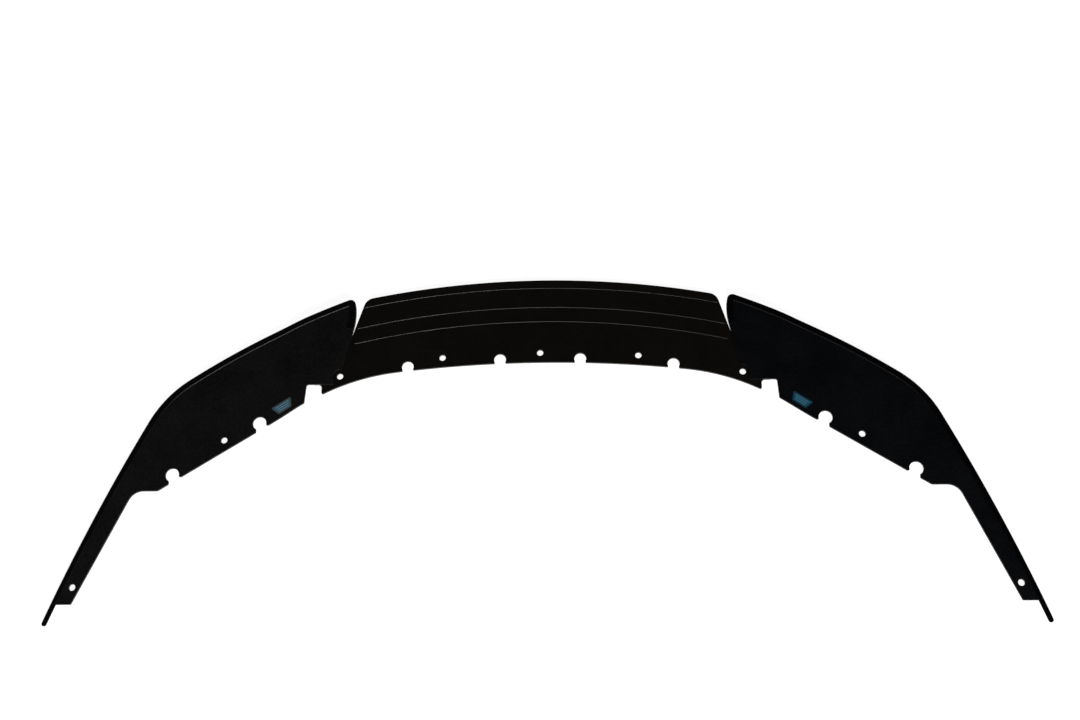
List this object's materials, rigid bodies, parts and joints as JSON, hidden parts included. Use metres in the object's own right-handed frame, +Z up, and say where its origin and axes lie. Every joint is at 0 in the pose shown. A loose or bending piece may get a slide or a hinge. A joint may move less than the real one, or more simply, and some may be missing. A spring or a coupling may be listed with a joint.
{
  "type": "skid plate",
  "caption": "Flat black plastic front skid plate for a car: a centre plate and two swept wings with edge strips, bolt holes and open keyholes.",
  "frame": {"origin": "middle of the underside of the overall box", "axes": "+X across the car, +Y towards the car's nose, +Z up from the flat underside"},
  "size_m": [1.779, 0.6541, 0.012],
  "materials": {
    "centre_plate": "satin black",
    "left_wing": "grained black",
    "right_wing": "grained black",
    "edge_strip": "matte black",
    "label": "printed film"
  },
  "bodies": {
    "root": {"centre_plate": "centre_plate", "left_wing": "left_wing", "right_wing": "right_wing", "left_edge_strip": "edge_strip", "right_edge_strip": "edge_strip", "left_label": "label", "right_label": "label"}
  },
  "joints": []
}
